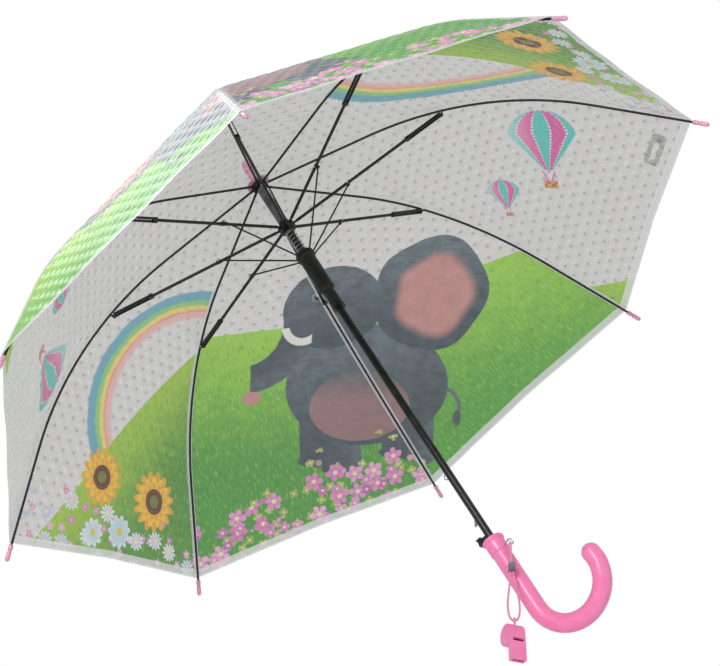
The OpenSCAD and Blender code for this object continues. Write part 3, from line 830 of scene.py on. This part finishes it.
# ---------------------------------------------------------------- carried-over parts
finish_of = {
    "black_enamel": enamel, "black_plastic": black_plastic, "fibre_rod": fibre,
    "pink_plastic": pink_plastic, "steel": steel, "spring_steel": spring_steel,
    "tip_plastic": tip_plastic, "cord": cord_pink,
}
for part in frame["record"]["subparts"]:
    material = finish_of.get(part["material_slot"])
    if material and part["node"] in nodes:
        mesh = nodes[part["node"]].data
        mesh.materials.clear()
        mesh.materials.append(material)

# ---------------------------------------------------------------- lanyard
ring = Vector((16.8, -7.9, 22))
swing, tilt = math.radians(217), math.radians(28)
hang_a = Vector((-math.sin(swing), math.cos(swing), 0))
hang_b = Vector((-math.cos(tilt) * math.cos(swing), -math.cos(tilt) * math.sin(swing),
                 -math.sin(tilt)))
hang_c = Vector((math.sin(tilt) * math.cos(swing), math.sin(tilt) * math.sin(swing),
                 -math.cos(tilt)))


def hung(a, b, c):
    """A point of the lanyard: a and b across its hang, and c down it from the ring."""
    return (ring + a * hang_a + b * hang_b + c * hang_c) * MM


cord_route = [hung(*p) for p in (
    (-1.2, 0, 29), (-1.2, 0, 24), (-2, 0, 19), (-3.4, 0, 14), (-4.3, 0, 9), (-4.2, 0, 5),
    (-2.8, 0, 2), (0, 0, 0.9), (2.8, 0, 2), (4.2, 0, 5), (4.3, 0, 9), (3.4, 0, 14),
    (2, 0, 19), (1.2, 0, 24), (0.6, -1, 29), (0, -1.4, 34), (0, -2, 41), (0, -3, 48),
    (0, -4.2, 55), (0, -5.2, 62), (0, -5.6, 68), (0, -5.4, 74), (0, -4.6, 79),
    (0, -2.9, 82.6), (0, 0, 84.1), (0, 2.9, 82.6), (0, 4.6, 79), (0, 5.4, 74), (0, 5.6, 68),
    (0, 5.2, 62), (0, 4.2, 55), (0, 3, 48), (0, 2, 41), (0, 1.4, 34), (0, 1.4, 29))]
cord_line = smooth_path(cord_route, 8)
cord = add_mesh("lanyard_braid", *tube(cord_line, 16, 0.0011, 4, 0.00011, 2300.0))
cord.data.materials.append(cord_pink)
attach(cord, "whistle_cord")
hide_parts("lanyard_cord")
tuple(cord_route[0])


# ---------------------------------------------------------------- handle
HOOK_R, HOOK_Z, GRIP_R = 38.0, -44.0, 9.4
SWEEP = math.radians(190)
GRIP_STEPS, HOOK_STEPS, END_STEPS = 24, 150, 14


def handle_skin():
    """The grip, its stepped collar and the hook as one smooth skin, with a rounded end."""
    collar = [(40.0, 4.3), (39.98, 9.9), (39.8, 10.5), (39.2, 11.05), (38.6, 11.32), (37.6, 11.4),
              (36.6, 11.38), (36.0, 11.15), (35.4, 10.5), (35.0, 10.25), (34.4, 10.2),
              (24.0, 10.2), (23.4, 10.15), (23.05, 9.9), (22.9, 9.55), (22.5, 9.42)]
    path = [(0, 0, z) for z, _ in collar]
    path += [(0, 0, z) for z in np.linspace(20, HOOK_Z + 1, GRIP_STEPS)]
    radii = [r for _, r in collar] + [GRIP_R] * GRIP_STEPS
    for a in np.linspace(0, SWEEP, HOOK_STEPS):
        path.append((HOOK_R * (1 - math.cos(a)), 0, HOOK_Z - HOOK_R * math.sin(a)))
        radii.append(GRIP_R)
    last, ahead = np.array(path[-1]), np.array((math.sin(SWEEP), 0, -math.cos(SWEEP)))
    for a in np.linspace(0.12, math.pi / 2 - 0.05, END_STEPS):
        path.append(tuple(last + ahead * GRIP_R * math.sin(a)))
        radii.append(GRIP_R * math.cos(a))
    return tube(np.array(path) * MM, 56, np.array(radii) * MM)


grip = add_mesh("handle_skin", *handle_skin())
grip.data.materials.append(pink_plastic)
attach(grip, "frame")
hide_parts("handle")


# ---------------------------------------------------------------- springs and rivets
def coil(name, z0, z1, r, wire, turns, material):
    """A coil spring with closed end turns; z0 and z1 are below the notch, in mm."""
    steps, sides = 20, 8
    n = turns * steps
    i = np.arange(n + 1)
    rise = z1 - z0 - 4 * wire
    climb = np.where(i <= steps, wire * i / steps, np.where(
        i >= n - steps, wire + rise + wire * (i - n + steps) / steps,
        wire + rise * (i - steps) / (n - 2 * steps)))
    angle = 2 * np.pi * i / steps
    line = np.stack([r * np.cos(angle), r * np.sin(angle), NOTCH_Z + z0 + wire + climb], -1)
    obj = add_mesh(name, *tube(line * MM, sides, wire / 2 * MM))
    obj.data.materials.append(material)
    return obj


main = coil("main_coil", z0=-152, z1=-71.2, r=5.2, wire=1.1, turns=17,
            material=bright_spring)
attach(main, "runner_slider")
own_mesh(main)
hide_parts("main_spring")
buffer = coil("buffer_coil", z0=-57.2, z1=-3.8, r=5.0, wire=1.1, turns=28,
              material=spring_steel)
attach(buffer, "frame")
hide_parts("buffer_spring")
BOW_X, BOW_Z, BOW_R = -3.6, 123.0, 3.0
bow = [(BOW_X - BOW_R * math.sin(a), 0, BOW_Z + BOW_R * math.cos(a))
       for a in np.linspace(0, math.pi, 25)]
safety = add_mesh("safety_bow", *tube(np.array(bow) * MM, 10, 0.0005))
safety.data.materials.append(spring_steel)
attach(safety, "frame")
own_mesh(safety)
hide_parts("safety_spring")

# Pivots in a rib's own plane, below the notch: on the hub, and where the fork holds the rib.
HUB = Vector((8.0, 0, -64.0))
JOINT = Vector((208.503, 0, -43.927))
LINK_AT, LINK_SIDE = 74.0, 3.6
link_joint = HUB + (JOINT - HUB).normalized() * LINK_AT
rivet_profile = [(0, 0), (1.25, 0), (1.5, 0.25), (1.45, 0.6), (1.1, 0.95), (0.55, 1.12), (0, 1.16)]


def rivet(name, k, x, y, z, face, body, size=1.0):
    """A domed rivet head in the frame of rib k; face is the side it looks to along Y."""
    points, faces = lathe([(r * size, h * size) for r, h in rivet_profile], 24)
    placed = [Vector((x - p[0] * face, y + p[2] * face, z + NOTCH_Z + p[1])) * MM
              for p in points]
    obj = add_mesh(name, spin(np.array([tuple(p) for p in placed]), azimuth_of(k)), faces)
    obj.data.materials.append(steel)
    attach(obj, body)


for k in range(1, RIBS + 1):
    rivet(f"link_rivet_{k}", k, link_joint.x, LINK_SIDE + 0.75, link_joint.z, 1, f"link_arm_{k}")
    rivet(f"link_rivet_back_{k}", k, link_joint.x, -2.05, link_joint.z, -1,
          f"stretcher_arm_{k}", 0.8)
    for face, side in ((1, "a"), (-1, "b")):
        rivet(f"fork_rivet_{side}_{k}", k, JOINT.x, 3.15 * face, JOINT.z, face,
              f"stretcher_arm_{k}", 0.75)


# ---------------------------------------------------------------- strap and snap on gore 2
def on_film(s, f):
    """A frame on the outside of the film of rib 2: X along the hem, Y up the panel, Z outwards."""
    at = lambda a, b: film_points(np.array([a]), np.array([b]), 0.3)[0]
    o = at(s, f)
    x = at(s, f + 0.1) - o
    x /= np.linalg.norm(x)
    rise = at(s - 10, f) - o
    z = np.cross(x, rise)
    z /= np.linalg.norm(z)
    return o, x, np.cross(z, x), z


STRAP_S, STRAP_F = FILM_S1 - 26, 0.2
STRAP_LEN, STRAP_HALF, STRAP_CORNER = 46, 8, 4
SLOT_START, SLOT_END, SLOT_HALF = 12, 38, 3
SNAP_AT, SNAP_LIFT = 6, 1.1


def ride_film(obj, s, f):
    """Keeps a small stiff piece on the film beside it."""
    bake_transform(obj, "rib_arm_2", "gore_panel_2", start=(0, 0, 0.54), end=(0, 0, 0.3))
    weight = float(furl_weight(np.array([s]), np.array([f]))[0])
    obj.data.attributes["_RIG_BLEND"].data.foreach_set(
        "value", np.full(len(obj.data.vertices), weight, np.float32))


def rounded(x0, x1, half, r):
    """A rectangle's outline from x0 to x1 and half each way across, with corners of radius r."""
    found = []
    for cx, cy, start in ((x1 - r, half - r, 0), (x0 + r, half - r, 90),
                          (x0 + r, r - half, 180), (x1 - r, r - half, 270)):
        found += [(cx + r * math.cos(math.radians(start + a)),
                   cy + r * math.sin(math.radians(start + a))) for a in range(0, 91, 15)]
    return found


def strap_mesh():
    """A flat band of doubled film with a slot, rounded corners and a raised welded rim."""
    o, x, y, z = on_film(STRAP_S, STRAP_F)
    outline = rounded(0, STRAP_LEN, STRAP_HALF, STRAP_CORNER)
    slot_line = rounded(SLOT_START, SLOT_END, SLOT_HALF, SLOT_HALF)
    middle = STRAP_LEN / 2
    inset = lambda d: [(middle + (a - middle) * (1 - d / middle), b * (1 - d / STRAP_HALF))
                       for a, b in outline]
    layers = [(outline, 0.1), (outline, 0.9), (inset(0.8), 1.1), (inset(1.6), 0.8),
              (slot_line, 0.8), (slot_line, 0.1)]
    points = [o + x * a + y * b + z * h for loop, h in layers for a, b in loop]
    n, rings = len(outline), len(layers)
    at = lambda i, j: i % rings * n + j % n
    faces = [(at(i, j), at(i, j + 1), at(i + 1, j + 1), at(i + 1, j))
             for i in range(rings) for j in range(n)]
    return spin(np.array(points) * MM, azimuth_of(2)), faces


def strap_material():
    mat, tree, shader = new_material("strap_film", IOR=1.5, Coat_Weight=0.3, Coat_Roughness=0.08)
    place = object_place(tree)
    cloud = noise(tree, place, 90, 3)
    tree.links.new(mix(tree, cloud.over(0.3, 0.7), (0.62, 0.62, 0.61), (0.85, 0.85, 0.84)),
                   shader.inputs["Base Color"])
    tree.links.new((cloud * 0.25 + 0.35).socket, shader.inputs["Alpha"])
    tree.links.new((cloud * 0.2 + 0.12).socket, shader.inputs["Roughness"])
    set_bump(tree, shader, noise(tree, place, 700, 2), 0.4, 0.0002)
    return mat


strap = add_mesh("strap", *strap_mesh())
strap.data.materials.append(strap_material())
ride_film(strap, STRAP_S, STRAP_F)
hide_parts("tie_strap")
o, x, y, z = on_film(STRAP_S, STRAP_F)
points, faces = lathe([(0, 0), (5.0, 0), (5.5, 0.3), (5.5, 0.7), (5.1, 1.05), (4.1, 1.0),
                       (3.6, 0.75), (2.8, 0.8), (2.5, 1.2), (2.5, 1.9), (2.1, 2.35),
                       (1.2, 2.5), (0, 2.5)], 32)
snap_points = np.array([o + x * (SNAP_AT + p[0]) + y * p[1] + z * (SNAP_LIFT + p[2])
                        for p in points]) * MM
snap = add_mesh("snap_stud", spin(snap_points, azimuth_of(2)), faces)
snap.data.materials.append(steel)
ride_film(snap, STRAP_S, STRAP_F)
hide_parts("snap")


# ---------------------------------------------------------------- floor and light
def floor_material():
    """Pale on top, and clear from below."""
    mat, tree, shader = new_material("floor", Roughness=0.9)
    place = object_place(tree)
    tree.links.new(mix(tree, noise(tree, place, 3, 3), (0.86, 0.86, 0.86), (0.9, 0.9, 0.9)),
                   shader.inputs["Base Color"])
    glass = tree.nodes.new("ShaderNodeBsdfTransparent")
    either = tree.nodes.new("ShaderNodeMixShader")
    tree.links.new(tree.nodes.new("ShaderNodeNewGeometry").outputs["Backfacing"], either.inputs[0])
    tree.links.new(shader.outputs[0], either.inputs[1])
    tree.links.new(glass.outputs[0], either.inputs[2])
    tree.links.new(either.outputs[0], tree.nodes["Material Output"].inputs["Surface"])
    return mat


FLOOR_Z, FLOOR_HALF = -1.25, 9
floor = add_mesh("floor", [(x * FLOOR_HALF, y * FLOOR_HALF, FLOOR_Z)
                           for x, y in ((-1, -1), (1, -1), (1, 1), (-1, 1))], [(0, 1, 2, 3)], False)
floor.data.materials.append(floor_material())


def softbox(name, spot, target, size, power):
    """A round area light at spot that faces target, size in metres and power in watts."""
    light = bpy.data.lights.new(name, "AREA")
    light.shape, light.size, light.energy = "DISK", size, power
    obj = bpy.data.objects.new(name, light)
    bpy.context.collection.objects.link(obj)
    spot, target = Vector(spot), Vector(target)
    obj.location = spot
    obj.rotation_mode = "QUATERNION"
    obj.rotation_quaternion = (target - spot).to_track_quat("-Z", "Y")


centre = Vector((0, 0, 0.35))
softbox("key", centre + up * 1.6 - right * 1.2 + back * 2.2, centre, 1.1, 36)
softbox("fill", centre - up * 0.6 + right * 2.2 + back * 1.6, centre, 1.4, 16)
softbox("top", centre + Vector((-0.5, 0.6, 2.4)), centre, 1.2, 7)
world = bpy.data.worlds.new("studio")
world.use_nodes = True
sky = world.node_tree
sky.nodes["Background"].inputs["Color"].default_value = (0.97, 0.98, 1, 1)
sky.nodes["Background"].inputs["Strength"].default_value = 0.72
backdrop = sky.nodes.new("ShaderNodeBackground")
backdrop.inputs["Color"].default_value = (1, 1, 1, 1)
seen = sky.nodes.new("ShaderNodeMixShader")
sky.links.new(sky.nodes.new("ShaderNodeLightPath").outputs["Is Camera Ray"], seen.inputs[0])
sky.links.new(sky.nodes["Background"].outputs[0], seen.inputs[1])
sky.links.new(backdrop.outputs[0], seen.inputs[2])
sky.links.new(seen.outputs[0], sky.nodes["World Output"].inputs["Surface"])
bpy.context.scene.world = world
bpy.context.scene.view_settings.view_transform = "Standard"
